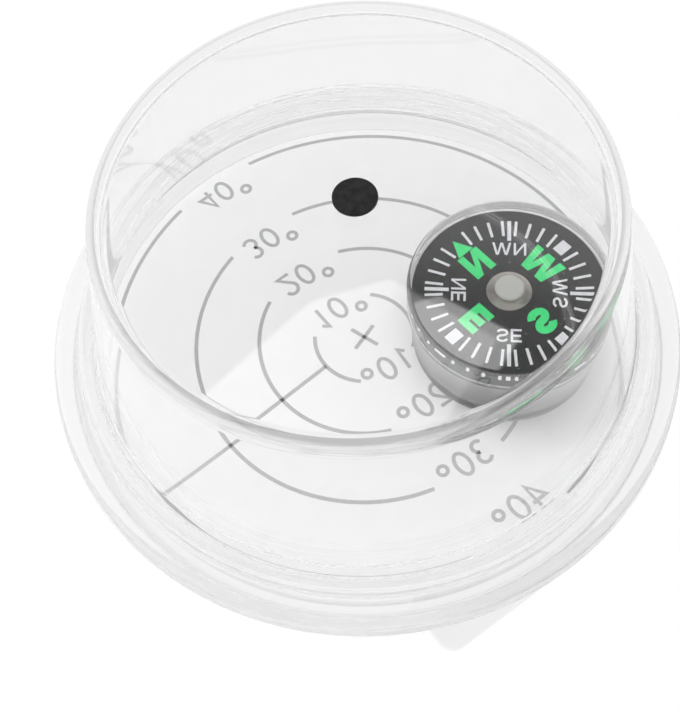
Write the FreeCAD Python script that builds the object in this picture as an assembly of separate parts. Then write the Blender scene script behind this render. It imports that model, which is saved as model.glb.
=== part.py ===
import FreeCAD, Part
import math
import os
from FreeCAD import Vector

# Clip-on sun-angle inclinometer with a button compass, millimetres, +Z up.
# A dot on the flat top of a clear cup throws its shadow on a ring target in the tray below.
# The origin is on the cup's axis, in the plane of the clip's underside. The clip's mouth faces -Y.
# Heights of the cup and the compass are given above the target's face.

# Clear cover: the cup
cup_top_r = 24.45         # outer radius where the wall would meet the flat top
cup_height = 26.4         # target face to the top of the cup
cup_draft_deg = 10.7      # flare of the cup's wall, from the vertical
cup_wall = 1.0
cup_top_t = 1.6
cup_edge_fillet = 1.0
cup_inner_fillet = 1.2
cup_foot_fillet = 0.35    # inside corner between the wall and the shoulder

# Clear cover: the shoulder and the brim
shoulder_z = 7.0          # top of the shoulder round the cup's foot
shoulder_w = 2.0
shoulder_t = 1.6
shoulder_fillet = 0.9
shoulder_draft = 0.3      # flare of the shoulder's side
flange_r = 33.5           # outer radius of the brim, the widest line of the part
brim_z = 4.45             # top of the brim
brim_draft = 0.15
brim_fillet = 1.2
skirt_t = 1.1             # skirt that stands in the tray
seam_z = 2.4              # seam between the brim and the tray's lip

# Tray
tray_r = 31.45            # outer radius of the tray's wall
tray_wall = 1.3
tray_floor_t = 1.8
tray_fillet = 1.8
lip_z = 1.2               # underside of the lip that stands out under the brim
lip_inset = 0.2           # how far the lip stays inside the brim's edge
lip_fillet = 0.8
lip_root_fillet = 0.4
seam_gap = 0.1

# Snap bead around the skirt and its groove in the tray
bead_h = 0.2
bead_w = 0.7
bead_z = 0.45             # centre of the bead above the target face

# Target and shadow dot
target_t = 0.8
target_clear = 0.2        # radial gap between the target and the skirt
dot_r = 2.1
dot_t = 0.25

# Fits
fit = 0.1                 # slip fit between moulded pieces
glue_gap = 0.03           # bond line
running = 0.15            # gap round the turning card

# Clip
clip_w = 20.0
clip_offset = -2.4        # the clip's middle, along X
clip_reach = 31.4         # from the cup's axis to the jaw's lip
jaw_t = 1.8
slot_h = 4.8              # height of the slot for the panel's edge
slot_depth = 23.0
clip_back = 10.0          # back of the clip, along +Y
clip_corner = 1.8         # rounded corners of the jaw's lip
lip_chamfer = 0.9
ridge_h = 0.5
ridge_inset = 4.0         # grip ridge from the lip
throat_fillet = 0.8
pocket_w = 4.4
pocket_h = 3.2
pocket_depth = 14.0
pocket_count = 3
peg_r = 1.2
peg_pitch = 12.0
peg_fit = 0.05

# Compass case, on its own axis
compass_azimuth = -37.2   # degrees from +X, round the cup's axis
case_gap = 0.95           # between the lens cap and the cup's wall
case_r = 10.4             # outer radius of the lens cap
case_height = 11.0        # target face to the top of the lens cap
lens_top_t = 0.8
lens_wall = 0.4
lens_skirt_z = 7.9        # lower edge of the lens cap
lens_fillet = 0.5
tape_t = 0.4
bowl_foot_r = 9.7
bowl_wall = 0.9
bowl_floor_t = 1.0
boss_r = 1.5
boss_h = 2.8

# Compass card and its pivot
card_t = 0.25
card_top_z = 8.6
cap_r = 1.65
cap_wall = 0.3
cap_height = 1.35         # card face to the top of the bearing cap
flare_r = 2.3
flare_h = 0.5
crimp_depth = 0.3         # the cap's tube below the card
jewel_r = 1.1
jewel_t = 0.55
dimple_r = 0.5
dimple_depth = 0.3
pin_r = 0.35
pin_point = 1.4           # length of the needle's cone
tip_gap = 0.02
magnet_l = 13.0
magnet_w = 4.2
magnet_t = 1.0
north_azimuth = 95.5      # where the card's north mark points at rest

# Levels, from the clip's underside up
slot_top = jaw_t + slot_h
floor_top = slot_top + tray_floor_t
face = floor_top + target_t

# Radii that follow
cup_flare = math.tan(math.radians(cup_draft_deg))
cup_foot_r = cup_top_r + (cup_height - shoulder_z) * cup_flare
shoulder_r = cup_foot_r + shoulder_w
lip_r = flange_r - lip_inset
tray_inner_r = tray_r - tray_wall
skirt_r = tray_inner_r - fit
skirt_inner_r = skirt_r - skirt_t
target_r = skirt_inner_r - target_clear
cup_inner_r_at_case = cup_top_r + (cup_height - case_height) * cup_flare - cup_wall
compass_offset = cup_inner_r_at_case - case_gap - case_r
lens_inner_r = case_r - lens_wall
card_r = lens_inner_r - running
neck_r = lens_inner_r - glue_gap
card_bottom_z = card_top_z - card_t
cap_top_z = card_top_z + cap_height
neck_z = card_bottom_z - running      # top of the bowl's spigot, inside the lens cap
tip_z = cap_top_z - cap_wall - jewel_t + dimple_depth - tip_gap

nodes = {}


def corner_arc(before, corner, after, radius):
    """Tangent points and middle point of the arc that rounds one corner of an outline."""
    to_before = (before - corner).normalize()
    to_after = (after - corner).normalize()
    half = to_before.getAngle(to_after) / 2
    reach = radius / math.tan(half)
    bisector = (to_before + to_after).normalize()
    centre = corner + bisector * (radius / math.sin(half))
    return corner + to_before * reach, centre - bisector * radius, corner + to_after * reach


def rounded_face(corners):
    """Flat face from corners given as (point, fillet radius), in order round the outline."""
    edges = []
    stops = []
    for i, (point, radius) in enumerate(corners):
        if radius:
            before, after = corners[i - 1][0], corners[(i + 1) % len(corners)][0]
            start, middle, end = corner_arc(before, point, after, radius)
            edges.append(Part.Arc(start, middle, end).toShape())
            stops.append((start, end))
        else:
            edges.append(None)
            stops.append((point, point))
    outline = []
    for i, arc in enumerate(edges):
        if arc:
            outline.append(arc)
        leave, arrive = stops[i][1], stops[(i + 1) % len(stops)][0]
        if leave.distanceToPoint(arrive) > 1e-6:
            outline.append(Part.LineSegment(leave, arrive).toShape())
    return Part.Face(Part.Wire(outline))


def turned(profile, base_z=0.0):
    """Solid of revolution from (radius, height, fillet) corners, raised by base_z."""
    face_rz = rounded_face([(Vector(r, 0, base_z + z), fillet) for r, z, fillet in profile])
    return face_rz.revolve(Vector(0, 0, 0), Vector(0, 0, 1), 360)


def slab(x0, x1, y0, y1, z0, z1):
    return Part.makeBox(x1 - x0, y1 - y0, z1 - z0, Vector(x0, y0, z0))


def rod(radius, z0, z1, x=0.0, y=0.0):
    return Part.makeCylinder(radius, z1 - z0, Vector(x, y, z0))


def clear_cover():
    """Cup, shoulder, brim and the skirt with its snap bead, one clear moulding."""
    under_shoulder = shoulder_z - shoulder_t
    inner_top = cup_height - cup_top_t
    inner_foot_r = cup_top_r + (cup_height - under_shoulder) * cup_flare - cup_wall
    inner_top_r = cup_top_r + cup_top_t * cup_flare - cup_wall
    profile = [
        (0, cup_height, 0),
        (cup_top_r, cup_height, cup_edge_fillet),
        (cup_foot_r, shoulder_z, cup_foot_fillet),
        (shoulder_r, shoulder_z, shoulder_fillet),
        (shoulder_r + shoulder_draft, brim_z, 0.3),
        (flange_r - brim_draft, brim_z, brim_fillet),
        (flange_r, seam_z, 0.25),
        (skirt_r, seam_z, 0),
        (skirt_r, bead_z + bead_w / 2, 0),
        (skirt_r + bead_h, bead_z, 0),
        (skirt_r, bead_z - bead_w / 2, 0),
        (skirt_r, -target_t, 0.2),
        (skirt_inner_r, -target_t, 0.2),
        (skirt_inner_r, under_shoulder, 0.4),
        (inner_foot_r, under_shoulder, 0.3),
        (inner_top_r, inner_top, cup_inner_fillet),
        (0, inner_top, 0),
    ]
    return turned(profile, face)


def base_tray():
    """Shallow round tray with a lip, a groove for the snap bead and two peg holes."""
    profile = [
        (0, -target_t - tray_floor_t, 0),
        (tray_r, -target_t - tray_floor_t, tray_fillet),
        (tray_r, lip_z, lip_root_fillet),
        (lip_r, lip_z, lip_fillet),
        (lip_r, seam_z - seam_gap, 0.15),
        (tray_inner_r, seam_z - seam_gap, 0.15),
        (tray_inner_r, bead_z + bead_w / 2 + fit, 0),
        (tray_inner_r + bead_h, bead_z, 0),
        (tray_inner_r, bead_z - bead_w / 2 - fit, 0),
        (tray_inner_r, -target_t, 0),
        (0, -target_t, 0),
    ]
    tray = turned(profile, face)
    for x in peg_places():
        tray = tray.cut(rod(peg_r + peg_fit, slot_top - 1, floor_top + 1, x, peg_y()))
    return tray


def target_disc():
    profile = [(0, -target_t, 0), (target_r, -target_t, 0), (target_r, 0, 0.15), (0, 0, 0)]
    return turned(profile, face)


def shadow_dot():
    top = cup_height + dot_t
    return turned([(0, cup_height, 0), (dot_r, cup_height, 0), (dot_r, top, 0.12), (0, top, 0)], face)


def peg_places():
    return [clip_offset + side * peg_pitch / 2 for side in (-1, 1)]


def peg_y():
    """Middle of the spacer block behind the slot."""
    return (clip_back + throat_y()) / 2


def throat_y():
    return -clip_reach + slot_depth


def panel_clip():
    """Jaw, spacer block and two pegs. The tray's underside is the slot's upper face."""
    x0, x1 = clip_offset - clip_w / 2, clip_offset + clip_w / 2
    plan = rounded_face([
        (Vector(x0, clip_back, 0), clip_corner),
        (Vector(x0, -clip_reach, 0), clip_corner),
        (Vector(x1, -clip_reach, 0), clip_corner),
        (Vector(x1, clip_back, 0), clip_corner),
    ])
    body = plan.extrude(Vector(0, 0, slot_top))
    slot_side = rounded_face([
        (Vector(x0 - 1, throat_y(), jaw_t), throat_fillet),
        (Vector(x0 - 1, throat_y(), slot_top + 2), 0),
        (Vector(x0 - 1, -clip_reach - 2, slot_top + 2), 0),
        (Vector(x0 - 1, -clip_reach - 2, jaw_t - lip_chamfer - 1), 0),
        (Vector(x0 - 1, -clip_reach, jaw_t - lip_chamfer), 0),
        (Vector(x0 - 1, -clip_reach + 2 * lip_chamfer, jaw_t), 0),
    ])
    body = body.cut(slot_side.extrude(Vector(clip_w + 2, 0, 0)))
    body = body.fuse(grip_ridge(x0 + clip_corner, x1 - clip_corner))
    pitch = clip_w / pocket_count
    middle = jaw_t + slot_h / 2
    for i in range(pocket_count):
        x = x0 + pitch * (i + 0.5)
        pocket = slab(x - pocket_w / 2, x + pocket_w / 2, clip_back - pocket_depth, clip_back + 1,
                      middle - pocket_h / 2, middle + pocket_h / 2)
        body = body.cut(pocket)
    for x in peg_places():
        body = body.fuse(rod(peg_r, slot_top - 0.5, floor_top - fit, x, peg_y()))
    return body.removeSplitter()


def grip_ridge(x0, x1):
    """Low round ridge across the jaw that presses on the panel's edge."""
    y = -clip_reach + ridge_inset
    start, end = Vector(x0, y - 2 * ridge_h, jaw_t), Vector(x0, y + 2 * ridge_h, jaw_t)
    crown = Vector(x0, y, jaw_t + ridge_h)
    foot = [Vector(x0, y + 2 * ridge_h, jaw_t - 0.2), Vector(x0, y - 2 * ridge_h, jaw_t - 0.2)]
    edges = [Part.Arc(start, crown, end).toShape()]
    for a, b in ((end, foot[0]), (foot[0], foot[1]), (foot[1], start)):
        edges.append(Part.LineSegment(a, b).toShape())
    return Part.Face(Part.Wire(edges)).extrude(Vector(x1 - x0, 0, 0))


def compass_tape():
    tape_r = bowl_foot_r - 1.2
    return turned([(0, 0, 0), (tape_r, 0, 0), (tape_r, tape_t, 0), (0, tape_t, 0)], face)


def compass_bowl():
    """Cup of the compass with the boss that holds the needle."""
    floor_z = tape_t + bowl_floor_t
    profile = [
        (0, tape_t, 0),
        (bowl_foot_r, tape_t, 0.5),
        (case_r - 0.15, lens_skirt_z - glue_gap, 0.2),
        (neck_r, lens_skirt_z - glue_gap, 0),
        (neck_r, neck_z, 0.15),
        (neck_r - bowl_wall / 2, neck_z, 0.1),
        (bowl_foot_r - bowl_wall, floor_z, 0.8),
        (boss_r + 0.2, floor_z, 0.3),
        (boss_r, floor_z + boss_h, 0.2),
        (pin_r, floor_z + boss_h, 0),
        (pin_r, floor_z, 0),
        (0, floor_z, 0),
    ]
    return turned(profile, face)


def compass_lens():
    """Clear cap over the card."""
    profile = [
        (0, case_height, 0),
        (case_r, case_height, lens_fillet),
        (case_r, lens_skirt_z, 0.15),
        (lens_inner_r, lens_skirt_z, 0),
        (lens_inner_r, case_height - lens_top_t, 0.3),
        (0, case_height - lens_top_t, 0),
    ]
    return turned(profile, face)


def compass_card():
    hole = cap_r - cap_wall + glue_gap
    profile = [
        (hole, card_bottom_z, 0),
        (card_r, card_bottom_z, 0),
        (card_r, card_top_z, 0.08),
        (hole, card_top_z, 0),
    ]
    return turned(profile, face)


def card_cap():
    """Bearing cap: flat-topped thimble with a flared foot, crimped through the card."""
    tube_r = cap_r - cap_wall
    profile = [
        (0, cap_top_z, 0),
        (cap_r, cap_top_z, 0.25),
        (cap_r, card_top_z + flare_h, 0.2),
        (flare_r, card_top_z + 0.12, 0.05),
        (flare_r, card_top_z, 0),
        (tube_r, card_top_z, 0),
        (tube_r, card_bottom_z - crimp_depth, 0),
        (jewel_r + glue_gap, card_bottom_z - crimp_depth, 0),
        (jewel_r + glue_gap, cap_top_z - cap_wall, 0),
        (0, cap_top_z - cap_wall, 0),
    ]
    return turned(profile, face)


def cap_jewel():
    """Bearing jewel with the cone that sits on the needle's point."""
    top = cap_top_z - cap_wall
    bottom = top - jewel_t
    profile = [
        (0, top, 0),
        (jewel_r, top, 0.1),
        (jewel_r, bottom, 0.1),
        (dimple_r, bottom, 0),
        (0, bottom + dimple_depth, 0),
    ]
    return turned(profile, face)


def pivot_pin():
    """Steel needle that carries the card on its point."""
    profile = [
        (0, tape_t + bowl_floor_t, 0),
        (pin_r, tape_t + bowl_floor_t, 0),
        (pin_r, tip_z - pin_point, 0),
        (0, tip_z, 0),
    ]
    return turned(profile, face)


def compass_magnet():
    """Bar magnet under the card, along its north-south line."""
    half_l, half_w = magnet_l / 2, magnet_w / 2
    top = face + card_bottom_z
    plan = rounded_face([
        (Vector(-half_l, -half_w, top - magnet_t), 0.6),
        (Vector(half_l, -half_w, top - magnet_t), 0.6),
        (Vector(half_l, half_w, top - magnet_t), 0.6),
        (Vector(-half_l, half_w, top - magnet_t), 0.6),
    ])
    bar = plan.extrude(Vector(0, 0, magnet_t))
    bar = bar.cut(rod(cap_r - cap_wall + glue_gap, top - magnet_t - 1, top + 1))
    bar.rotate(Vector(0, 0, 0), Vector(0, 0, 1), north_azimuth)
    return bar


def on_compass_axis(shape):
    angle = math.radians(compass_azimuth)
    shape.translate(Vector(compass_offset * math.cos(angle), compass_offset * math.sin(angle), 0))
    return shape


for maker in (clear_cover, base_tray, target_disc, shadow_dot, panel_clip):
    nodes[maker.__name__] = maker()
for maker in (compass_tape, compass_bowl, compass_lens, compass_card, compass_magnet,
              card_cap, cap_jewel, pivot_pin):
    nodes[maker.__name__] = on_compass_axis(maker())

os.makedirs("parts", exist_ok=True)
for name, shape in nodes.items():
    shape.exportStep(os.path.join("parts", name + ".step"))
    print(f"{name:16s} solids {len(shape.Solids)} valid {shape.isValid()} volume {shape.Volume:9.2f}")
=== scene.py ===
import math

import bmesh
import bpy
import numpy as np
from mathutils import Matrix, Vector


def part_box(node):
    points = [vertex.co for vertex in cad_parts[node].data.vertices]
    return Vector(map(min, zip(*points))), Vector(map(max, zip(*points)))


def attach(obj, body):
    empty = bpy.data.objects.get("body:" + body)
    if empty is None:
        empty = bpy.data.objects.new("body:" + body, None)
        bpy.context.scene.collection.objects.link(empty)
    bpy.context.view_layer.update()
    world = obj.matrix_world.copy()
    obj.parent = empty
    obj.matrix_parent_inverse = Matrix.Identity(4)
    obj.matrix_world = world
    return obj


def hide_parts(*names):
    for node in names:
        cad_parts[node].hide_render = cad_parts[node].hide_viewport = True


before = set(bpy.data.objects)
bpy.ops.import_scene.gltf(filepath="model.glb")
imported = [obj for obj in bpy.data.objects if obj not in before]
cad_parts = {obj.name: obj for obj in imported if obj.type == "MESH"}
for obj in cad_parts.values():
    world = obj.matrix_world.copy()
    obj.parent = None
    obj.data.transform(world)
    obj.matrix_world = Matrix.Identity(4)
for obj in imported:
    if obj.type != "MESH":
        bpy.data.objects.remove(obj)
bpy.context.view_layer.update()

mm = 0.001
print("frame loaded")

# Places that follow from the frame
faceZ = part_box("target_disc")[1].z
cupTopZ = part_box("clear_cover")[1].z
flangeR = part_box("clear_cover")[1].x
lensLow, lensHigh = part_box("compass_lens")
caseAxis = (lensLow + lensHigh) / 2
caseR = (lensHigh.x - lensLow.x) / 2
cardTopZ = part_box("compass_card")[1].z


def makePiece(name, verts, faces, material, body, smooth):
    mesh = bpy.data.meshes.new(name)
    mesh.from_pydata(verts.tolist(), [], faces)
    mesh.update()
    mesh.polygons.foreach_set("use_smooth", np.full(len(mesh.polygons), smooth))
    mesh.materials.append(material)
    piece = bpy.data.objects.new(name, mesh)
    bpy.context.scene.collection.objects.link(piece)
    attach(piece, body)
    return piece


def roundedOutline(corners, steps=14):
    # Each corner (x, y, fillet) becomes an arc that touches both of its sides: the arc's centre lies on the
    # corner's bisector at fillet / sin(half angle), and the arc runs from one tangent point to the other.
    points = []
    for i, (x, y, fillet) in enumerate(corners):
        here = np.array([x, y], float)
        before = np.array(corners[i - 1][:2], float) - here
        after = np.array(corners[(i + 1) % len(corners)][:2], float) - here
        before, after = before / np.linalg.norm(before), after / np.linalg.norm(after)
        if not fillet:
            points.append(here[None])
            continue
        half = math.acos(np.clip(before @ after, -1, 1)) / 2
        middle = (before + after) / np.linalg.norm(before + after)
        centre = here + middle * fillet / math.sin(half)
        start = here + before * fillet / math.tan(half) - centre
        end = here + after * fillet / math.tan(half) - centre
        a0, a1 = math.atan2(start[1], start[0]), math.atan2(end[1], end[0])
        sweep = (a1 - a0 + math.pi) % (2 * math.pi) - math.pi
        t = a0 + sweep * np.linspace(0, 1, steps)
        points.append(centre + fillet * np.stack([np.cos(t), np.sin(t)], 1))
    return np.concatenate(points)


def turnedPiece(name, corners, material, body, centre=(0, 0), around=256, sharp=32):
    # The profile (r, z) is carried round the axis: point = centre + r (cos a, sin a), height = face + z.
    # Points on the axis are shared, so both poles are closed.
    line = roundedOutline([(r * mm, z * mm, f * mm) for r, z, f in corners])
    line = line[np.append(True, np.linalg.norm(np.diff(line, axis=0), axis=1) > 1e-8)]
    r, z = line[:, :1], line[:, 1:]
    a = np.linspace(0, 2 * math.pi, around, endpoint=False)
    grid = np.stack([centre[0] + r * np.cos(a), centre[1] + r * np.sin(a), np.tile(faceZ + z, around)], 2)
    onAxis = line[:, 0] < 1e-9
    used = ~onAxis[:, None] | (np.arange(around) == 0)
    counts = used.sum(1)
    low = (np.cumsum(counts) - counts)[:, None] + np.where(onAxis[:, None], 0, np.arange(around))
    high, nextOnAxis = np.roll(low, -1, 0), np.roll(onAxis, -1)
    lowNext, highNext = np.roll(low, -1, 1), np.roll(high, -1, 1)
    quads = np.stack([low, lowNext, highNext, high], 2)[~(onAxis & nextOnAxis)].reshape(-1, 4).tolist()
    faces = [list(dict.fromkeys(quad)) for quad in quads]   # a side that ends on the axis has three corners
    piece = makePiece(name, grid[used], faces, material, body, True)
    orientOutwards(piece)
    piece.data.set_sharp_from_angle(angle=math.radians(sharp))
    return piece


def orientOutwards(piece):
    bm = bmesh.new()
    bm.from_mesh(piece.data)
    bmesh.ops.recalc_face_normals(bm, faces=bm.faces)
    bm.to_mesh(piece.data)
    bm.free()


def paintSides(piece, centre, material, test):
    # Gives another material to the faces whose distance from the axis and height, in mm, pass the test.
    piece.data.materials.append(material)
    count = len(piece.data.polygons)
    centres, index = np.empty(count * 3), np.empty(count, dtype=np.int32)
    piece.data.polygons.foreach_get("center", centres)
    piece.data.polygons.foreach_get("material_index", index)
    place = (centres.reshape(-1, 3) - (centre[0], centre[1], faceZ)) / mm
    chosen = test(np.hypot(place[:, 0], place[:, 1]), place[:, 2])
    index[chosen] = len(piece.data.materials) - 1
    piece.data.polygons.foreach_set("material_index", index)


def makePrism(name, outlines, z0, z1, material, body):
    # Flat plates with the given outlines, from height z0 to height z1.
    verts, faces, base = [], [], 0
    for outline in outlines:
        outline = np.asarray(outline, float)
        x, y = outline[:, 0], outline[:, 1]
        if (x * np.roll(y, -1) - y * np.roll(x, -1)).sum() < 0:
            outline = outline[::-1]
        n = len(outline)
        low = base + np.arange(n)
        lowNext = np.roll(low, -1)
        verts += [np.column_stack([outline, np.full(n, z)]) for z in (z0, z1)]
        faces += [(low + n).tolist(), low[::-1].tolist()]
        faces += np.stack([low, lowNext, lowNext + n, low + n], 1).tolist()
        base += 2 * n
    return makePiece(name, np.concatenate(verts), faces, material, body, False)


def strokeOutlines(path, width, closed=False):
    # A line of even width along the path: each side is the path moved by half the width along its
    # normal, made longer at bends by 1 / cos(half the bend) so that the width stays even.
    p = np.asarray(path, float)
    if closed:
        ahead, behind = np.roll(p, -1, 0) - p, p - np.roll(p, 1, 0)
    else:
        steps = np.diff(p, axis=0)
        ahead = np.concatenate([steps, steps[-1:]])
        behind = np.concatenate([steps[:1], steps])
    ahead /= np.linalg.norm(ahead, axis=1)[:, None]
    behind /= np.linalg.norm(behind, axis=1)[:, None]
    along = ahead + behind
    along /= np.linalg.norm(along, axis=1)[:, None]
    stretch = 1 / np.clip((along * ahead).sum(1), 0.5, 1)
    side = np.stack([-along[:, 1], along[:, 0]], 1) * (width / 2 * stretch)[:, None]
    left, right = p + side, p - side
    if not closed:
        return [np.concatenate([left, right[::-1]])]
    nextLeft, nextRight = np.roll(left, -1, 0), np.roll(right, -1, 0)
    return [np.array([a, b, c, d]) for a, b, c, d in zip(left, nextLeft, nextRight, right)]


def arc(cx, cy, rx, ry, start, end, count=24):
    t = np.radians(np.linspace(start, end, count))
    return np.stack([cx + rx * np.cos(t), cy + ry * np.sin(t)], 1)


def newMaterial(name):
    material = bpy.data.materials.new(name)
    material.use_nodes = True
    tree = material.node_tree
    tree.nodes.clear()
    return material, tree, tree.nodes.new("ShaderNodeOutputMaterial")


def addNode(tree, kind, **values):
    node = tree.nodes.new(kind)
    for key, value in values.items():
        if hasattr(node, key):
            setattr(node, key, value)
        else:
            node.inputs[key.replace("_", " ")].default_value = value
    return node


def objectCoords(tree, scale=(1, 1, 1)):
    coords = addNode(tree, "ShaderNodeTexCoord")
    mapping = addNode(tree, "ShaderNodeMapping", Scale=scale)
    tree.links.new(coords.outputs["Object"], mapping.inputs["Vector"])
    return mapping.outputs["Vector"]


def noiseField(tree, scale, detail=3.0, roughness=0.55, stretch=(1, 1, 1)):
    noise = addNode(tree, "ShaderNodeTexNoise", Scale=scale, Detail=detail, Roughness=roughness)
    tree.links.new(objectCoords(tree, stretch), noise.inputs["Vector"])
    return noise.outputs["Fac"]


def ramped(tree, source, stops):
    ramp = addNode(tree, "ShaderNodeValToRGB")
    elements = ramp.color_ramp.elements
    while len(elements) < len(stops):
        elements.new(0.5)
    for element, (place, value) in zip(elements, stops):
        element.position = place
        element.color = (*value, 1) if isinstance(value, tuple) else (value, value, value, 1)
    tree.links.new(source, ramp.inputs["Fac"])
    return ramp.outputs["Color"]


def bumpFrom(tree, height, distance):
    bump = addNode(tree, "ShaderNodeBump", Strength=1.0, Distance=distance)
    tree.links.new(height, bump.inputs["Height"])
    return bump.outputs["Normal"]


def joinNode(tree, kind, *sources, **values):
    # A node whose first inputs, in order, are numbers or the outputs of other nodes.
    node = addNode(tree, kind, **values)
    for slot, source in zip(node.inputs, sources):
        if isinstance(source, float):
            slot.default_value = source
        else:
            tree.links.new(source, slot)
    return node.outputs[0]


def mixShaders(tree, share, first, second):
    return joinNode(tree, "ShaderNodeMixShader", share, first, second)


def clearPlastic(name, tint, roughness, shadowTint, waviness, ior=1.5, scratch=0.0, film=0.0, haze=0.0):
    # Polished clear moulding: it bends light, and lets the lamps reach what is inside. Where a ray has bounced many
    # times, or has gone a long way inside the walls, the plastic glows a soft white: painted light, an emission that
    # stands in for light caught in the walls.
    material, tree, output = newMaterial(name)
    glass = addNode(tree, "ShaderNodeBsdfPrincipled", Transmission_Weight=1.0, IOR=ior)
    glass.inputs["Base Color"].default_value = (*tint, 1)
    wear = ramped(tree, noiseField(tree, 900, 6, 0.7), [(0.35, roughness), (0.75, roughness + scratch)])
    tree.links.new(wear, glass.inputs["Roughness"])
    tree.links.new(bumpFrom(tree, noiseField(tree, 60, 2), waviness), glass.inputs["Normal"])
    body = glass.outputs["BSDF"]
    side = addNode(tree, "ShaderNodeNewGeometry").outputs["Backfacing"]
    path = addNode(tree, "ShaderNodeLightPath").outputs
    if film:   # extra shine of the outer side only
        shine = addNode(tree, "ShaderNodeBsdfAnisotropic", Roughness=0.02)
        outer = joinNode(tree, "ShaderNodeMapRange", side, To_Min=film, To_Max=0.0)
        body = mixShaders(tree, outer, body, shine.outputs[0])
    if haze:   # the moulding's faint bloom
        bloom = addNode(tree, "ShaderNodeBsdfDiffuse", Color=(*paintedGlowAndHaze["bloomTone"], 1))
        body = mixShaders(tree, haze, body, bloom.outputs[0])
    # Painted light: where a ray has bounced many times, or has gone a long way inside the plastic, part of the surface
    # becomes a soft white glow
    bounced = joinNode(tree, "ShaderNodeMath", path["Glossy Depth"], paintedGlowAndHaze["glossyBounces"], operation="GREATER_THAN")
    deep = joinNode(tree, "ShaderNodeMath", path["Ray Depth"], paintedGlowAndHaze["bounces"], operation="GREATER_THAN")
    glowOnBounces = joinNode(tree, "ShaderNodeMath", bounced, deep, operation="MAXIMUM")
    length = joinNode(tree, "ShaderNodeMapRange", path["Ray Length"], paintedGlowAndHaze["start"] * mm, paintedGlowAndHaze["end"] * mm,
                      To_Max=paintedGlowAndHaze["most"])
    glowOnLength = joinNode(tree, "ShaderNodeMath", length, side, operation="MULTIPLY")
    amount = joinNode(tree, "ShaderNodeMath", glowOnBounces, glowOnLength, operation="MAXIMUM")
    glow = addNode(tree, "ShaderNodeEmission", Color=(*paintedGlowAndHaze["tone"], 1), Strength=1.0)
    body = mixShaders(tree, amount, body, glow.outputs[0])
    lamps = addNode(tree, "ShaderNodeBsdfTransparent", Color=(*shadowTint, 1))
    body = mixShaders(tree, path["Is Shadow Ray"], body, lamps.outputs["BSDF"])
    tree.links.new(body, output.inputs["Surface"])
    return material


def surfaceFinish(name, dark, light, roughness, noiseScale, bumpDistance, metallic=0.0, spread=0.12, specular=0.5):
    # Opaque finish whose colour drifts between two tones, with fine grain in its gloss and relief.
    material, tree, output = newMaterial(name)
    shader = addNode(tree, "ShaderNodeBsdfPrincipled", Metallic=metallic)
    shader.inputs["Specular IOR Level"].default_value = specular
    grain = noiseField(tree, noiseScale, 5, 0.6)
    tree.links.new(ramped(tree, grain, [(0.3, dark), (0.7, light)]), shader.inputs["Base Color"])
    tree.links.new(ramped(tree, grain, [(0.3, roughness), (0.7, roughness + spread)]), shader.inputs["Roughness"])
    tree.links.new(bumpFrom(tree, grain, bumpDistance), shader.inputs["Normal"])
    tree.links.new(shader.outputs["BSDF"], output.inputs["Surface"])
    return material


# Painted glow of the clear plastics (path lengths, bounce counts, largest share and tone of the glow), and the tone of
# the faint diffuse bloom
paintedGlowAndHaze = {
    "start": 2.4, "end": 8.0,   # lengths inside the plastic, in millimetres
    "most": 0.85, "glossyBounces": 2.5, "bounces": 9.5, "tone": (0.9,) * 3, "bloomTone": (0.72,) * 3,
}
plastic = {
    "cover": dict(tint=(0.995,) * 3, roughness=0.0, shadowTint=(0.97,) * 3, waviness=0.000001),
    "rim": dict(tint=(0.93,) * 3, roughness=0.05, shadowTint=(0.97,) * 3, waviness=0.000001, scratch=0.02, film=0.35),
    "edge": dict(tint=(0.995,) * 3, roughness=0.15, shadowTint=(0.97,) * 3, waviness=0.000001, scratch=0.02, film=0.62),
    "brim": dict(tint=(0.995,) * 3, roughness=0.15, shadowTint=(0.97,) * 3, waviness=0.000001, scratch=0.03, haze=0.16),
    "tray": dict(tint=(0.985,) * 3, roughness=0.15, shadowTint=(0.95,) * 3, waviness=0.000001, scratch=0.02, haze=0.12),
    "clip": dict(tint=(0.88, 0.885, 0.885), roughness=0.22, shadowTint=(0.9,) * 3, waviness=0.00001, scratch=0.08),
    "lens": dict(tint=(0.99, 0.995, 0.995), roughness=0.0, shadowTint=(0.98,) * 3, waviness=0.000001, scratch=0.006,
                 film=0.2),
    "bowl": dict(tint=(0.5,) * 3, roughness=0.3, shadowTint=(0.72,) * 3, waviness=0.00001, ior=1.48, scratch=0.1),
    "jewel": dict(tint=(0.8, 0.84, 0.9), roughness=0.0, shadowTint=(0.8, 0.8, 0.85), waviness=0.000001, ior=1.7),
}
coverPlastic = clearPlastic("coverPlastic", **plastic["cover"])
rimPlastic = clearPlastic("rimPlastic", **plastic["rim"])
edgePlastic = clearPlastic("edgePlastic", **plastic["edge"])
brimPlastic = clearPlastic("brimPlastic", **plastic["brim"])
trayPlastic = clearPlastic("trayPlastic", **plastic["tray"])
clipPlastic = clearPlastic("clipPlastic", **plastic["clip"])
lensPlastic = clearPlastic("lensPlastic", **plastic["lens"])
bowlPlastic = clearPlastic("bowlPlastic", **plastic["bowl"])
jewelGlass = clearPlastic("jewelGlass", **plastic["jewel"])

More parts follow.
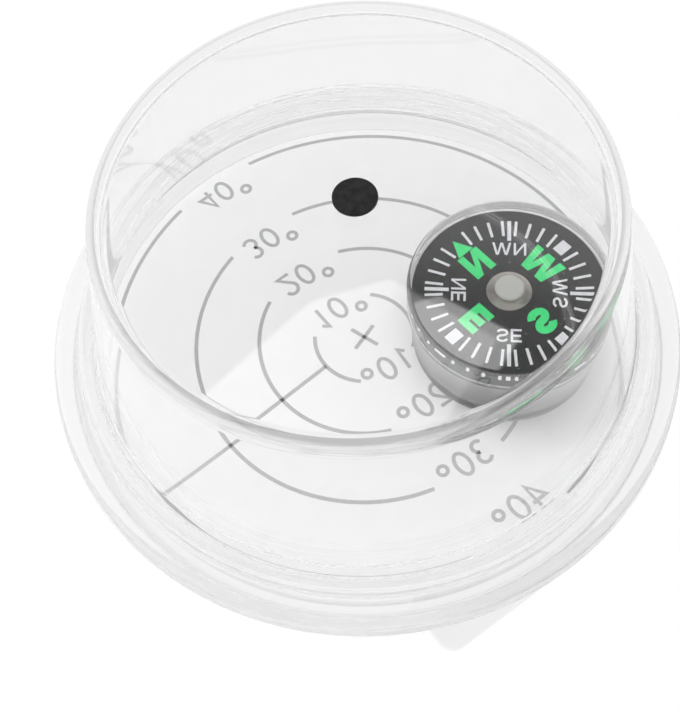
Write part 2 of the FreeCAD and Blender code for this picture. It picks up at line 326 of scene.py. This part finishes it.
targetWhite = surfaceFinish("targetWhite", (0.86, 0.86, 0.865), (0.89, 0.89, 0.895), 0.5, 700, 0.000002)
inkGrey = surfaceFinish("inkGrey", (0.4, 0.4, 0.4), (0.48, 0.48, 0.48), 0.6, 2500, 0.000002)
inkWhite = surfaceFinish("inkWhite", (0.84, 0.84, 0.88), (0.95, 0.95, 0.97), 0.55, 2500, 0.000002)
inkGreen = surfaceFinish("inkGreen", (0.04, 0.86, 0.23), (0.07, 0.95, 0.3), 0.5, 1600, 0.000002)
dotBlack = surfaceFinish("dotBlack", (0.004, 0.004, 0.0045), (0.016, 0.016, 0.017), 0.38, 1500, 0.000012,
                         specular=0.3)
tapeFoam = surfaceFinish("tapeFoam", (0.5, 0.5, 0.51), (0.62, 0.62, 0.63), 0.85, 4000, 0.00005)
magnetSteel = surfaceFinish("magnetSteel", (0.2, 0.2, 0.21), (0.32, 0.32, 0.33), 0.35, 2500, 0.000008, metallic=1.0)
pinSteel = surfaceFinish("pinSteel", (0.55, 0.55, 0.57), (0.68, 0.68, 0.7), 0.18, 5000, 0.000003, metallic=1.0)


def cardFinish():
    # Black printed card: a slow drift of tone, fine hairline scratches and a few pale specks of dust.
    material, tree, output = newMaterial("cardBlack")
    shader = addNode(tree, "ShaderNodeBsdfPrincipled", Roughness=0.42)
    drift = ramped(tree, noiseField(tree, 180, 3), [(0.3, 0.008), (0.7, 0.02)])
    specks = ramped(tree, noiseField(tree, 3200, 1, 0.4), [(0.76, 0.0), (0.79, 0.35)])
    hairs = ramped(tree, noiseField(tree, 700, 6, 0.8, (1, 9, 1)), [(0.68, 0.0), (0.72, 0.03)])
    total = drift
    for extra in (specks, hairs):
        add = addNode(tree, "ShaderNodeMix", data_type="RGBA", blend_type="ADD")
        add.inputs["Factor"].default_value = 1
        tree.links.new(total, add.inputs[6])
        tree.links.new(extra, add.inputs[7])
        total = add.outputs[2]
    tree.links.new(total, shader.inputs["Base Color"])
    tree.links.new(bumpFrom(tree, noiseField(tree, 2000, 4), 0.000004), shader.inputs["Normal"])
    tree.links.new(shader.outputs["BSDF"], output.inputs["Surface"])
    return material


def turnedNickel(name, dark, light, metallic, roughness):
    # Nickel plate with faint lathe rings round the compass's axis.
    material, tree, output = newMaterial(name)
    shader = addNode(tree, "ShaderNodeBsdfPrincipled", Metallic=metallic)
    coords = addNode(tree, "ShaderNodeTexCoord")
    mapping = addNode(tree, "ShaderNodeMapping", Location=(-caseAxis.x, -caseAxis.y, 0))
    tree.links.new(coords.outputs["Object"], mapping.inputs["Vector"])
    flat = addNode(tree, "ShaderNodeVectorMath", operation="MULTIPLY")
    flat.inputs[1].default_value = (1, 1, 0)
    tree.links.new(mapping.outputs["Vector"], flat.inputs[0])
    reach = addNode(tree, "ShaderNodeVectorMath", operation="LENGTH")
    tree.links.new(flat.outputs["Vector"], reach.inputs[0])
    rings = addNode(tree, "ShaderNodeTexNoise", noise_dimensions="1D", Scale=9000.0, Detail=4.0)
    tree.links.new(reach.outputs["Value"], rings.inputs["W"])
    ring = rings.outputs["Fac"]
    tree.links.new(ramped(tree, ring, [(0.3, dark), (0.7, light)]), shader.inputs["Base Color"])
    tree.links.new(ramped(tree, ring, [(0.3, roughness), (0.7, roughness + 0.05)]), shader.inputs["Roughness"])
    tree.links.new(bumpFrom(tree, ring, 0.0000004), shader.inputs["Normal"])
    tree.links.new(shader.outputs["BSDF"], output.inputs["Surface"])
    return material


def makeJoinedSide():
    # Sides that touch plastic, or oil, of nearly the same index, where light crosses without bending.
    material, tree, output = newMaterial("joinedSide")
    clear = addNode(tree, "ShaderNodeBsdfTransparent", Color=(0.99, 0.99, 0.99, 1))
    tree.links.new(clear.outputs[0], output.inputs["Surface"])
    return material


joinedSide = makeJoinedSide()
cardBlack = cardFinish()
# Two copies of the cap's nickel: a lighter, less metallic one for the top, which is painted light, and a darker, fully
# metallic one for the sides and flare, which is painted shade
nickelPaintedLit = turnedNickel("nickelPaintedLit", (0.74, 0.71, 0.69), (0.78, 0.75, 0.73), 0.3, 0.3)
nickelPaintedShade = turnedNickel("nickelPaintedShade", (0.5, 0.46, 0.42), (0.6, 0.56, 0.52), 1.0, 0.22)
print("materials made")

cover = {
    "cupTopR": 24.45, "cupHeight": 26.4, "draft": 10.7, "wall": 1.0, "top": 1.6, "edge": 1.0, "innerEdge": 1.2,
    "edgeDeep": 4.6, "edgeIn": 1.5,   # a rougher and shinier band below the top's edge
    "brimDrop": 0.8, "seamEdge": 0.3, "lipEdge": 0.2,   # where other finishes of the brim and the seam end
    "footFillet": 0.35, "shoulderZ": 7.0, "shoulderW": 2.0, "shoulderT": 1.6, "shoulderFillet": 0.9,
    "shoulderDraft": 0.3, "brimZ": 4.45, "brimDraft": 0.15, "brimFillet": 1.2, "skirtT": 1.1, "seamZ": 2.4,
    "trayR": 31.45, "trayWall": 1.3, "trayFloor": 1.8, "trayFillet": 1.8, "lipZ": 1.2, "lipInset": 0.2,
    "lipFillet": 0.8, "lipRoot": 0.4, "seamGap": 0.1, "fit": 0.1, "targetT": 0.8,
    "beadH": 0.2, "beadW": 0.7, "beadZ": 0.45,
}
margin, hair = 0.05, 0.02   # millimetres that keep the limit of a finish off the faces beside it
flange = flangeR / mm
flare = math.tan(math.radians(cover["draft"]))
footR = cover["cupTopR"] + (cover["cupHeight"] - cover["shoulderZ"]) * flare
shoulderR = footR + cover["shoulderW"]
trayInnerR = cover["trayR"] - cover["trayWall"]
skirtR = trayInnerR - cover["fit"]
skirtInnerR = skirtR - cover["skirtT"]


def buildCover():
    c = cover
    under = c["shoulderZ"] - c["shoulderT"]
    innerTop = c["cupHeight"] - c["top"]
    profile = [
        (0, c["cupHeight"], 0), (c["cupTopR"], c["cupHeight"], c["edge"]),
        (footR, c["shoulderZ"], c["footFillet"]), (shoulderR, c["shoulderZ"], c["shoulderFillet"]),
        (shoulderR + c["shoulderDraft"], c["brimZ"], 0.3), (flange - c["brimDraft"], c["brimZ"], c["brimFillet"]),
        (flange, c["seamZ"], 0.25), (skirtR, c["seamZ"], 0),
        (skirtR, c["beadZ"] + c["beadW"] / 2, 0), (skirtR + c["beadH"], c["beadZ"], 0),
        (skirtR, c["beadZ"] - c["beadW"] / 2, 0), (skirtR, -c["targetT"], 0.2),
        (skirtInnerR, -c["targetT"], 0.2), (skirtInnerR, under, 0.4),
        (c["cupTopR"] + (c["cupHeight"] - under) * flare - c["wall"], under, 0.3),
        (c["cupTopR"] + c["top"] * flare - c["wall"], innerTop, c["innerEdge"]),
        (0, innerTop, 0),
    ]
    piece = turnedPiece("coverMoulding", profile, coverPlastic, "housing", around=384)
    paintSides(piece, (0, 0), brimPlastic, lambda r, z: (
        (r > shoulderR + margin) & (z < c["shoulderZ"] - c["brimDrop"])))
    paintSides(piece, (0, 0), rimPlastic, lambda r, z: (
        (z >= c["cupHeight"] - c["edge"]) & (r > c["cupTopR"] - c["edge"])))
    paintSides(piece, (0, 0), edgePlastic, lambda r, z: (
        (z > c["cupHeight"] - c["edgeDeep"]) & (z < c["cupHeight"] - c["edge"]) & (
            r > c["cupTopR"] - c["edgeIn"])))
    paintSides(piece, (0, 0), joinedSide, lambda r, z: (
        (r > skirtInnerR + margin) & (r < flange - c["seamEdge"]) & (z < c["seamZ"] + hair)))
    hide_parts("clear_cover")


def buildTray():
    c = cover
    seam = c["seamZ"] - c["seamGap"]
    profile = [
        (0, -c["targetT"] - c["trayFloor"], 0), (c["trayR"], -c["targetT"] - c["trayFloor"], c["trayFillet"]),
        (c["trayR"], c["lipZ"], c["lipRoot"]), (flange - c["lipInset"], c["lipZ"], c["lipFillet"]),
        (flange - c["lipInset"], seam, 0.15), (trayInnerR, seam, 0.15),
        (trayInnerR, c["beadZ"] + c["beadW"] / 2 + c["fit"], 0), (trayInnerR + c["beadH"], c["beadZ"], 0),
        (trayInnerR, c["beadZ"] - c["beadW"] / 2 - c["fit"], 0), (trayInnerR, -c["targetT"], 0),
        (0, -c["targetT"], 0),
    ]
    piece = turnedPiece("trayMoulding", profile, trayPlastic, "housing", around=384)
    wallEnd, lipEnd = trayInnerR + c["beadH"] + margin, flange - c["lipInset"] - c["lipEdge"]
    paintSides(piece, (0, 0), joinedSide, lambda r, z: (z > -c["targetT"] - hair) & (
        ((r > skirtInnerR + margin) & (r < wallEnd)) | ((z > seam - margin) & (r < lipEnd))))
    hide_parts("base_tray")


buildCover()
buildTray()
print("cover and tray made")

dot = {"radius": 2.1, "thickness": 0.25, "edge": 0.12}


def buildDot():
    t = dot["thickness"]
    top = (cupTopZ - faceZ) / mm
    profile = [(0, top, 0), (dot["radius"], top, 0), (dot["radius"], top + t, dot["edge"]), (0, top + t, 0)]
    piece = turnedPiece("shadowDot", profile, dotBlack, "housing", around=96)
    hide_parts("shadow_dot")


buildDot()
print("shadow dot made")

turnOfPrint = -30.0   # the print's up direction in the frame, degrees
target = {
    "rings": {10: 5.44, 20: 11.57, 30: 18.53, 40: 27.69},
    "gaps": {10: [(77, 172.5), (-100, -20)], 20: [(99, 150), (-81.9, -38)],
             30: [(111, 138.5), (-73.6, -46)], 40: [(114, 135), (-73, -48)]},
    "lineWidth": 0.42, "digitHeight": 2.6, "digitStroke": 0.4, "digitPitch": 2.3, "degreeOn": 2.35,
    "upperLabels": {10: (4.8, 122.2), 20: (10.67, 123.1), 30: (17.25, 123.4), 40: (26.1, 123.6)},
    "lowerLabels": {10: (4.6, -64.0), 20: (10.4, -59.5), 30: (17.6, -61.0), 40: (24.6, -57.4)},
    "upperDegree": 1.5, "lowerDegree": 0.6, "spokeAz": -145.5, "spokeShort": 0.2, "crossArm": 1.75, "crossTurn": 50.0,
    "digitMiddle": 0.29, "sunk": 0.01, "proud": 0.012,
}
digitPaths = {
    "0": [(arc(0.29, 0.5, 0.29, 0.5, 0, 360, 37)[:-1], True)],
    "1": [(np.array([(0.12, 0.8), (0.36, 1.0), (0.36, 0.0)]), False)],
    "2": [(np.concatenate([arc(0.29, 0.71, 0.28, 0.29, 165, -38, 18), [(0.02, 0.0), (0.6, 0.0)]]), False)],
    "3": [(arc(0.27, 0.755, 0.24, 0.245, 150, -80, 20), False), (arc(0.27, 0.265, 0.27, 0.265, 80, -155, 22), False)],
    "4": [(np.array([(0.46, 0.0), (0.46, 1.0), (0.0, 0.27), (0.383, 0.27)]), False),
          (np.array([(0.537, 0.27), (0.64, 0.27)]), False)],
    "o": [(arc(0.22, 0.0, 0.2, 0.2, 0, 360, 25)[:-1], True)],
}


def placedLabel(text, radius, azimuth, degreeUp):
    # A straight line of digits square to the radius. Up is towards the centre and the line reads clockwise.
    a = math.radians(azimuth)
    up = np.array([-math.cos(a), -math.sin(a)])
    along = np.array([math.sin(a), -math.cos(a)])
    h = target["digitHeight"]
    outlines = []
    for i, glyph in enumerate(text):
        for path, closed in digitPaths[glyph]:
            step = target["degreeOn"] if glyph == "o" else (i - 1) * target["digitPitch"]
            x = (path[:, 0] - target["digitMiddle"]) * h + step
            y = path[:, 1] * h + (degreeUp if glyph == "o" else -h / 2)
            points = -up * radius + x[:, None] * along + y[:, None] * up
            outlines += strokeOutlines(points, target["digitStroke"], closed)
    return outlines


def buildTargetPrint():
    outlines = []
    for angle, radius in target["rings"].items():
        gaps = sorted((a % 360, b % 360) for a, b in target["gaps"][angle])
        for (_, start), (end, _) in zip(gaps, gaps[1:] + [(gaps[0][0] + 360, 0)]):
            if end < start:
                end += 360
            ring = arc(0, 0, radius, radius, start, end, max(24, int(end - start)))
            outlines += strokeOutlines(ring, target["lineWidth"])
    for labels, degreeUp in (("upperLabels", "upperDegree"), ("lowerLabels", "lowerDegree")):
        for angle, (radius, azimuth) in target[labels].items():
            outlines += placedLabel(f"{angle}o", radius, azimuth, target[degreeUp])
    a = math.radians(target["spokeAz"])
    direction = np.array([math.cos(a), math.sin(a)])
    inner, outer = target["rings"][10], target["rings"][40] - target["spokeShort"]
    outlines += strokeOutlines(np.array([inner * direction, outer * direction]), target["lineWidth"])
    for turn in (0, 90):
        t = math.radians(turn + target["crossTurn"])
        arm = target["crossArm"] * np.array([math.cos(t), math.sin(t)])
        outlines += strokeOutlines(np.array([-arm, arm]), target["lineWidth"])
    t = math.radians(turnOfPrint)
    spin = np.array([[math.cos(t), math.sin(t)], [-math.sin(t), math.cos(t)]])
    placed = [outline @ spin * mm for outline in outlines]
    low, high = faceZ - target["sunk"] * mm, faceZ + target["proud"] * mm
    piece = makePrism("targetPrint", placed, low, high, inkGrey, "housing")


buildTargetPrint()
print("target printed")

case = {
    "height": 11.0, "lensTop": 0.8, "lensWall": 0.4, "skirtZ": 7.9, "edge": 0.5, "tape": 0.4,
    "footR": 9.7, "bowlWall": 0.9, "floor": 1.0, "neckTop": 8.2, "bossR": 1.5, "bossH": 2.8, "glueGap": 0.03,
    "pinR": 0.35,
}
cap = {"radius": 1.5, "wall": 0.3, "tubeR": 1.35, "height": 1.35, "flareR": 2.3, "flareH": 0.5, "crimp": 0.3,
       "boreR": 1.13, "cardT": 0.25}


def buildCompassCase():
    c = case
    outer = caseR / mm
    inner = outer - c["lensWall"]
    centre = (caseAxis.x, caseAxis.y)
    lens = [
        (0, c["height"], 0), (outer, c["height"], c["edge"]), (outer, c["skirtZ"], 0.15), (inner, c["skirtZ"], 0),
        (inner, c["height"] - c["lensTop"], 0.3), (0, c["height"] - c["lensTop"], 0),
    ]
    piece = turnedPiece("compassLens", lens, lensPlastic, "housing", centre, 256)
    roof = c["height"] - c["lensTop"]   # the oil reaches the lens's inner side
    paintSides(piece, centre, joinedSide, lambda r, z: (r < inner + 0.01) & (z < roof + 0.01))
    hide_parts("compass_lens")
    floorZ = c["tape"] + c["floor"]
    neckR = inner - c["glueGap"]
    rimZ = c["skirtZ"] - c["glueGap"]
    bowl = [
        (0, c["tape"], 0), (c["footR"], c["tape"], 0.5), (outer - 0.15, rimZ, 0.2), (neckR, rimZ, 0),
        (neckR, c["neckTop"], 0.15), (neckR - c["bowlWall"] / 2, c["neckTop"], 0.1),
        (c["footR"] - c["bowlWall"], floorZ, 0.8), (c["bossR"] + 0.2, floorZ, 0.3),
        (c["bossR"], floorZ + c["bossH"], 0.2), (c["pinR"], floorZ + c["bossH"], 0), (c["pinR"], floorZ, 0),
        (0, floorZ, 0),
    ]
    piece = turnedPiece("compassBowl", bowl, bowlPlastic, "housing", centre, 192)
    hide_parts("compass_bowl")


def buildCap():
    c = cap
    card = (cardTopZ - faceZ) / mm
    top, under = card + c["height"], card - c["cardT"] - c["crimp"]
    profile = [
        (0, top, 0), (c["radius"], top, 0.25), (c["radius"], card + c["flareH"], 0.2),
        (c["flareR"], card + 0.12, 0.05), (c["flareR"], card, 0), (c["tubeR"], card, 0), (c["tubeR"], under, 0),
        (c["boreR"], under, 0), (c["boreR"], top - c["wall"], 0), (0, top - c["wall"], 0),
    ]
    centre = (caseAxis.x, caseAxis.y)
    piece = turnedPiece("bearingCap", profile, nickelPaintedLit, "card", centre, 128)
    # The sides and the flare take the darker copy of the nickel: painted shade under the lighter top
    paintSides(piece, centre, nickelPaintedShade, lambda r, z: (r > c["radius"] - 0.02) & (z < top - 0.3))
    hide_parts("card_cap")


marks = {
    "northAz": 95.5, "outerR": 8.55, "tickLong": 1.85, "tickWidth": 0.3, "blockWide": 1.2, "blockIn": 1.85 * 0.9,
    "blockInset": 0.1, "midLong": 2.45, "midWidth": 0.4, "bigHeight": 3.05, "bigRadius": 4.65, "bigStroke": 0.27,
    "smallHeight": 1.5, "smallRadius": 5.1, "smallStroke": 0.16, "letterGap": 0.16, "arrowTip": 8.25,
    "arrowFoot": 6.25, "sunk": 0.01, "proud": 0.015,
}


def letterOutline(letter, stroke):
    # Letters in a box one unit high: the stroke is a share of the height.
    s = stroke
    if letter == "N":
        w, q = 0.86, 1.45 * s
        return w, [np.array([(0, 0), (0, 1), (s, 1), (w - s, q), (w - s, 1), (w, 1),
                             (w, 0), (w - s, 0), (s, 1 - q), (s, 0)])]
    if letter == "E":
        w = 0.72
        return w, [np.array([(0, 0), (0, 1), (w, 1), (w, 1 - s), (s, 1 - s), (s, 0.5 + s / 2),
                             (w * 0.94, 0.5 + s / 2), (w * 0.94, 0.5 - s / 2), (s, 0.5 - s / 2),
                             (s, s), (w, s), (w, 0)])]
    if letter == "W":
        w, half = 1.32, s * 0.58
        return w, [np.array([(0, 1), (s * 1.08, 1), (0.28 * w, 1.25 * s), (0.5 * w - half, 1), (0.5 * w + half, 1),
                             (0.72 * w, 1.25 * s), (w - s * 1.08, 1), (w, 1), (0.73 * w + half, 0),
                             (0.73 * w - half, 0), (0.5 * w, 0.95 - 1.2 * s), (0.27 * w + half, 0),
                             (0.27 * w - half, 0)])]
    w = 0.78   # the letter S: two arcs that meet in its middle
    rx, ry = (w - s) / 2, (1 - s) / 4
    upper = arc(w / 2, 1 - s / 2 - ry, rx, ry, 12, 268, 20)
    lower = arc(w / 2, s / 2 + ry, rx, ry, 90, -168, 20)
    return w, strokeOutlines(np.concatenate([upper, lower]), s)


def wordOutlines(word, height, stroke, radius, azimuth):
    # Letters set square to the radius, with their tops outwards, and read counter-clockwise.
    a = math.radians(azimuth)
    up, along = np.array([math.cos(a), math.sin(a)]), np.array([-math.sin(a), math.cos(a)])
    parts, x = [], 0.0
    for letter in word:
        width, outlines = letterOutline(letter, stroke)
        parts.append((x, outlines))
        x += width + marks["letterGap"]
    total = x - marks["letterGap"]
    placed = []
    for start, outlines in parts:
        for o in outlines:
            u = (o[:, 0] + start - total / 2) * height
            v = (o[:, 1] - 0.5) * height
            placed.append(up * radius + u[:, None] * along + v[:, None] * up)
    return placed


def barOutline(azimuth, rIn, rOut, width):
    a = math.radians(azimuth)
    up, along = np.array([math.cos(a), math.sin(a)]), np.array([-math.sin(a), math.cos(a)])
    corners = [(rIn, -1), (rIn, 1), (rOut, 1), (rOut, -1)]
    return np.array([up * r + along * side * width / 2 for r, side in corners])


def buildCardPrint():
    m = marks
    white, green = [], []
    for i in range(1, 36):   # the arrow takes the place of the first tick
        turn = m["northAz"] + 10 * i
        if i % 9 == 0:
            white.append(barOutline(turn, m["outerR"] - m["blockIn"], m["outerR"] - m["blockInset"], m["blockWide"]))
        else:
            white.append(barOutline(turn, m["outerR"] - m["tickLong"], m["outerR"], m["tickWidth"]))
    for i in range(4):
        turn = m["northAz"] + 45 + 90 * i
        white.append(barOutline(turn, m["outerR"] - m["midLong"], m["outerR"], m["midWidth"]))
    for i, (big, small) in enumerate(zip("NWSE", ("NW", "SW", "SE", "NE"))):
        turn = m["northAz"] - 90 * i
        green += wordOutlines(big, m["bigHeight"], m["bigStroke"], m["bigRadius"], turn)
        white += wordOutlines(small, m["smallHeight"], m["smallStroke"], m["smallRadius"], turn - 45)
    a = math.radians(m["northAz"])
    up, along = np.array([math.cos(a), math.sin(a)]), np.array([-math.sin(a), math.cos(a)])
    green.append(np.array([up * m["arrowTip"], up * m["arrowFoot"] + along, up * m["arrowFoot"] - along]))
    centre = np.array([caseAxis.x, caseAxis.y])
    low, high = cardTopZ - m["sunk"] * mm, cardTopZ + m["proud"] * mm
    for name, outlines, ink in (("cardMarksWhite", white, inkWhite), ("cardMarksGreen", green, inkGreen)):
        piece = makePrism(name, [o * mm + centre for o in outlines], low, high, ink, "card")


buildCompassCase()
buildCap()
buildCardPrint()
print("compass made")

# Nodes that stay as they are, with their finish
finishes = {
    "target_disc": targetWhite, "panel_clip": clipPlastic, "compass_tape": tapeFoam, "compass_card": cardBlack,
    "compass_magnet": magnetSteel, "cap_jewel": jewelGlass, "pivot_pin": pinSteel,
}
for nodeName, finish in finishes.items():
    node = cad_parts[nodeName]
    if not node.material_slots:
        node.data.materials.append(finish)
    for slot in node.material_slots:
        slot.material = finish

stage = {
    "floorSize": 6.0, "floorTone": (0.85,) * 3, "floorShown": 0.97, "throughPlastic": 0.955, "ambient": 1.1,
    "sky": [(0.0, 1.0), (0.4, 0.95), (0.6, 0.7), (0.83, 0.26), (0.86, 0.1), (1.0, 0.1)],   # height, strength
    "softboxPlace": (80, 1480, 3000), "softboxSize": (1200, 800), "softboxPower": 4.2, "softboxSoft": 30,
    "softboxEdges": [(-0.637, 0.77, 298), (-0.203, 0.979, 261), (0.653, 0.757, 294), (0.801, -0.599, 400)],
    "keyPlace": (-250, 130, 450), "keySize": (240, 240), "keyPower": 1.1,
    "topPlace": (60, -40, 500), "topSize": (300, 300), "topPower": 0.62,
}
viewTurn = Matrix.Rotation(math.radians(-30), 4, "Z")


def buildFloor():
    size = stage["floorSize"] / 2
    mesh = bpy.data.meshes.new("floor")
    mesh.from_pydata([(-size, -size, 0), (size, -size, 0), (size, size, 0), (-size, size, 0)], [], [(0, 1, 2, 3)])
    floor = bpy.data.objects.new("floor", mesh)
    bpy.context.scene.collection.objects.link(floor)
    material, tree, output = newMaterial("floorWhite")
    matte = addNode(tree, "ShaderNodeBsdfDiffuse", Color=(*stage["floorTone"], 1))
    white = addNode(tree, "ShaderNodeEmission", Color=(1, 1, 1, 1), Strength=1.0)
    seen = addNode(tree, "ShaderNodeEmission", Color=(1, 1, 1, 1), Strength=stage["throughPlastic"])
    path = addNode(tree, "ShaderNodeLightPath")
    either = joinNode(tree, "ShaderNodeMath", path.outputs["Is Glossy Ray"], path.outputs["Is Transmission Ray"],
                      operation="MAXIMUM")
    share = joinNode(tree, "ShaderNodeMath", path.outputs["Is Camera Ray"], stage["floorShown"], operation="MULTIPLY")
    direct = mixShaders(tree, share, matte.outputs[0], white.outputs[0])
    tree.links.new(mixShaders(tree, either, direct, seen.outputs[0]), output.inputs["Surface"])
    mesh.materials.append(material)


def buildWorld():
    world = bpy.data.worlds.new("studio")
    bpy.context.scene.world = world
    world.use_nodes = True
    tree = world.node_tree
    tree.nodes.clear()
    output = addNode(tree, "ShaderNodeOutputWorld")
    coords = addNode(tree, "ShaderNodeTexCoord")
    parts = addNode(tree, "ShaderNodeSeparateXYZ")
    tree.links.new(coords.outputs["Generated"], parts.inputs[0])
    sky = ramped(tree, parts.outputs["Z"], stage["sky"])
    room = addNode(tree, "ShaderNodeBackground", Strength=1.0)
    tree.links.new(sky, room.inputs["Color"])
    back = addNode(tree, "ShaderNodeBackground", Color=(1, 1, 1, 1), Strength=1.0)
    path = addNode(tree, "ShaderNodeLightPath")
    soft = addNode(tree, "ShaderNodeBackground", Color=(1, 1, 1, 1), Strength=stage["ambient"])
    lit = mixShaders(tree, path.outputs["Is Diffuse Ray"], room.outputs[0], soft.outputs[0])
    shown = mixShaders(tree, path.outputs["Is Camera Ray"], lit, back.outputs[0])
    tree.links.new(shown, output.inputs["Surface"])


def softEdges(lamp, edges, soft):
    # The lamp shines inside straight edges only. For each edge (x, y, reach), in millimetres, the strength
    # falls smoothly to nothing where the place on the lamp, times the direction (x, y), comes to the reach.
    lamp.data.use_nodes = True
    tree = lamp.data.node_tree
    tree.nodes.clear()
    output = tree.nodes.new("ShaderNodeOutputLight")
    glow = addNode(tree, "ShaderNodeEmission", Color=(1, 1, 1, 1))
    geometry = addNode(tree, "ShaderNodeNewGeometry")
    centred = addNode(tree, "ShaderNodeVectorMath", operation="SUBTRACT")
    centred.inputs[1].default_value = (0.5, 0.5, 0)
    tree.links.new(geometry.outputs["Parametric"], centred.inputs[0])
    total = 1.0
    for x, y, reach in edges:
        along = addNode(tree, "ShaderNodeVectorMath", operation="DOT_PRODUCT")
        along.inputs[1].default_value = (x * lamp.data.size / mm, y * lamp.data.size_y / mm, 0)
        tree.links.new(centred.outputs["Vector"], along.inputs[0])
        fall = addNode(tree, "ShaderNodeMapRange", interpolation_type="SMOOTHSTEP")
        for key, value in (("From Min", reach), ("From Max", reach - soft), ("To Min", 0.0), ("To Max", 1.0)):
            fall.inputs[key].default_value = value
        tree.links.new(along.outputs["Value"], fall.inputs["Value"])
        total = joinNode(tree, "ShaderNodeMath", total, fall.outputs[0], operation="MULTIPLY")
    tree.links.new(total, glow.inputs["Strength"])
    tree.links.new(glow.outputs[0], output.inputs["Surface"])


def areaLamp(name, place, size, aim, power):
    data = bpy.data.lights.new(name, "AREA")
    data.shape, data.size, data.size_y = "RECTANGLE", size[0] * mm, size[1] * mm
    data.energy = power
    lamp = bpy.data.objects.new(name, data)
    bpy.context.scene.collection.objects.link(lamp)
    spot = Vector(place) * mm
    turn = Matrix()   # straight down, unless the lamp is aimed
    if aim:
        turn = (Vector(aim) * mm - spot).to_track_quat("-Z", "Y").to_matrix().to_4x4()
    lamp.matrix_world = viewTurn @ Matrix.Translation((0, 0, faceZ)) @ Matrix.Translation(spot) @ turn
    return lamp


camera = {"place": (-2.891, -61.297, 110.805), "pitch": 61.73, "roll": -6.254, "sensor": 36.0, "focalShare": 1150 / 712}


def buildCamera():
    data = bpy.data.cameras.new("camera")
    data.sensor_width, data.lens = camera["sensor"], camera["focalShare"] * camera["sensor"]
    data.clip_start, data.clip_end = 0.005, 50
    eye = bpy.data.objects.new("camera", data)
    bpy.context.scene.collection.objects.link(eye)
    p, r = math.radians(camera["pitch"]), math.radians(camera["roll"])
    look = Vector((0, math.cos(p), -math.sin(p)))
    right, up = Vector((1, 0, 0)), Vector((0, math.sin(p), math.cos(p)))
    across = math.cos(r) * right + math.sin(r) * up
    upward = -math.sin(r) * right + math.cos(r) * up
    basis = Matrix((across, upward, -look)).transposed().to_4x4()
    spot = Matrix.Translation(Vector(camera["place"]) * mm + Vector((0, 0, faceZ)))
    eye.matrix_world = viewTurn @ spot @ basis
    bpy.context.scene.camera = eye


buildFloor()
buildWorld()
softbox = areaLamp("softbox", stage["softboxPlace"], stage["softboxSize"], None, stage["softboxPower"])
softEdges(softbox, stage["softboxEdges"], stage["softboxSoft"])
key = areaLamp("key", stage["keyPlace"], stage["keySize"], (0, 0, 0), stage["keyPower"])
top = areaLamp("top", stage["topPlace"], stage["topSize"], (0, 0, 0), stage["topPower"])
for lamp in (key, top):   # these light the target and don't show in the plastic
    lamp.visible_glossy = lamp.visible_transmission = False
    lamp.data.cycles.use_multiple_importance_sampling = False
buildCamera()
bpy.context.scene.view_settings.view_transform = "Standard"
print("stage ready")
